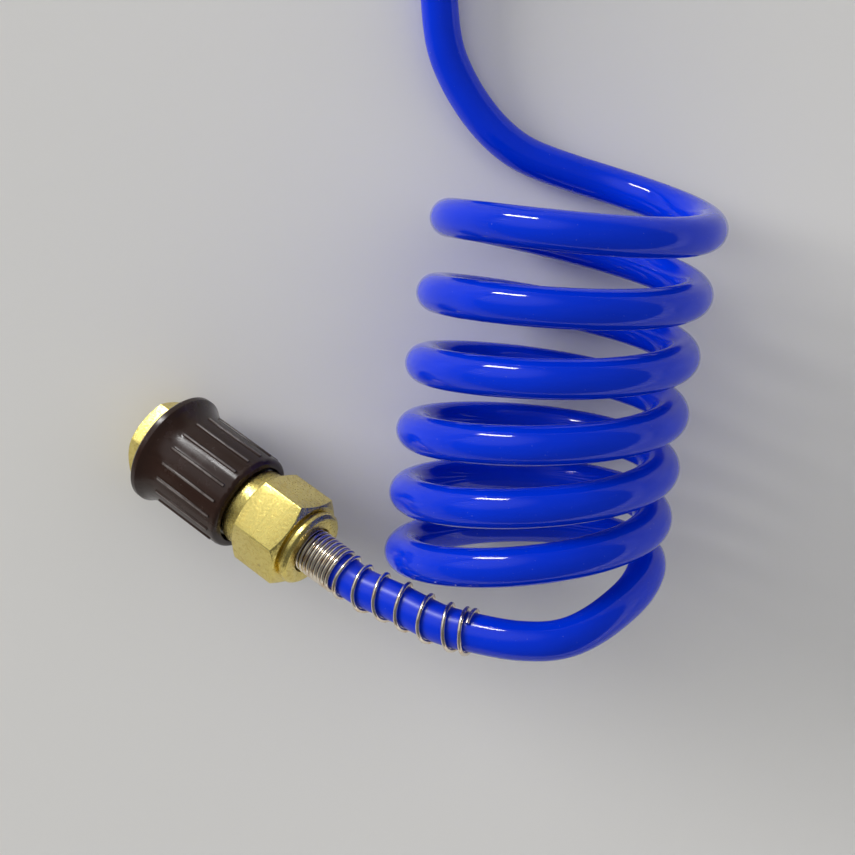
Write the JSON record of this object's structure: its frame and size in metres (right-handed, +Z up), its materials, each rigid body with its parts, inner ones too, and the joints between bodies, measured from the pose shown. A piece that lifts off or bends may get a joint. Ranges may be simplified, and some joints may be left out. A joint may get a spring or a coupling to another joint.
{
  "type": "coiled air hose",
  "caption": "Blue recoil air hose wound in a short open coil, with a quick-release sleeve coupling and plug at one end, a plug nipple at the other and spring guards on both.",
  "frame": {"origin": "middle of the part's footprint, on the floor it lies on", "axes": "+Y along the coil from the coupling's end to the far nipple, +Z up from the floor, +X from the coupling towards the coil"},
  "size_m": [0.126, 0.2287, 0.0601],
  "materials": {
    "hose": "glossy blue polyurethane",
    "brass": "bright machined brass",
    "turned_brass": "plain turned brass",
    "grip": "brown-black satin plastic",
    "spring_steel": "nickel-plated spring wire",
    "bearing_steel": "polished steel balls",
    "nylon": "natural nylon",
    "seal": "black nitrile rubber"
  },
  "bodies": {
    "hose_and_coupling": {"hose_coil": "hose", "hose_lead": "hose", "spring_guard": "spring_steel", "gland_nut": "brass", "ferrule": "nylon", "hose_stem": "turned_brass", "stem_gasket": "seal", "rear_adapter": "turned_brass", "coupling_barrel": "turned_brass", "sleeve_spring": "spring_steel", "retaining_ring": "spring_steel", "valve_spring": "spring_steel", "plug_seal": "seal"},
    "release_sleeve": {"sleeve_grip": "grip", "lock_sleeve": "turned_brass"},
    "inlet": {"inlet_plug": "brass"},
    "valve": {"valve_poppet": "nylon", "valve_seal": "seal"},
    "ball_1": {"lock_ball_1": "bearing_steel"},
    "ball_2": {"lock_ball_2": "bearing_steel"},
    "ball_3": {"lock_ball_3": "bearing_steel"},
    "ball_4": {"lock_ball_4": "bearing_steel"},
    "far_end": {"hose_tail": "hose", "far_spring_guard": "spring_steel", "far_nut": "brass", "far_ferrule": "nylon", "far_stem": "turned_brass", "far_gasket": "seal", "far_plug": "brass"}
  },
  "joints": [
    {"name": "coil_stretch", "type": "slide", "parent": "hose_and_coupling", "child": "far_end", "axis": [0, 1, 0], "range_m": [0, 0.25], "stiffness_N_per_m": 8, "deforming": ["hose_coil"]},
    {"name": "sleeve_release", "type": "slide", "parent": "hose_and_coupling", "child": "release_sleeve", "axis": [0.7574, -0.4199, 0.5], "range_m": [0, 0.003], "stiffness_N_per_m": 500, "deforming": ["sleeve_spring"]},
    {"name": "inlet_swivel", "type": "hinge", "parent": "hose_and_coupling", "child": "inlet", "pos_m": [-0.05523, -0.07933, 0.00992], "axis": [-0.7574, 0.4199, -0.5], "continuous": true},
    {"name": "valve_open", "type": "slide", "parent": "hose_and_coupling", "child": "valve", "axis": [0.7574, -0.4199, 0.5], "range_m": [0, 0.0012], "stiffness_N_per_m": 150, "deforming": ["valve_spring"]},
    {"name": "ball_1_out", "type": "slide", "parent": "hose_and_coupling", "child": "ball_1", "axis": [-0.0336, -0.7899, -0.6124], "range_m": [0, 0.0013]},
    {"name": "ball_2_out", "type": "slide", "parent": "hose_and_coupling", "child": "ball_2", "axis": [-0.652, -0.447, 0.6124], "range_m": [0, 0.0013]},
    {"name": "ball_3_out", "type": "slide", "parent": "hose_and_coupling", "child": "ball_3", "axis": [0.0336, 0.7899, 0.6124], "range_m": [0, 0.0013]},
    {"name": "ball_4_out", "type": "slide", "parent": "hose_and_coupling", "child": "ball_4", "axis": [0.652, 0.447, -0.6124], "range_m": [0, 0.0013]}
  ],
  "couplings": [
    {"joint": "ball_1_out", "follows": "sleeve_release", "ratio": 0.43333},
    {"joint": "ball_2_out", "follows": "sleeve_release", "ratio": 0.43333},
    {"joint": "ball_3_out", "follows": "sleeve_release", "ratio": 0.43333},
    {"joint": "ball_4_out", "follows": "sleeve_release", "ratio": 0.43333}
  ]
}
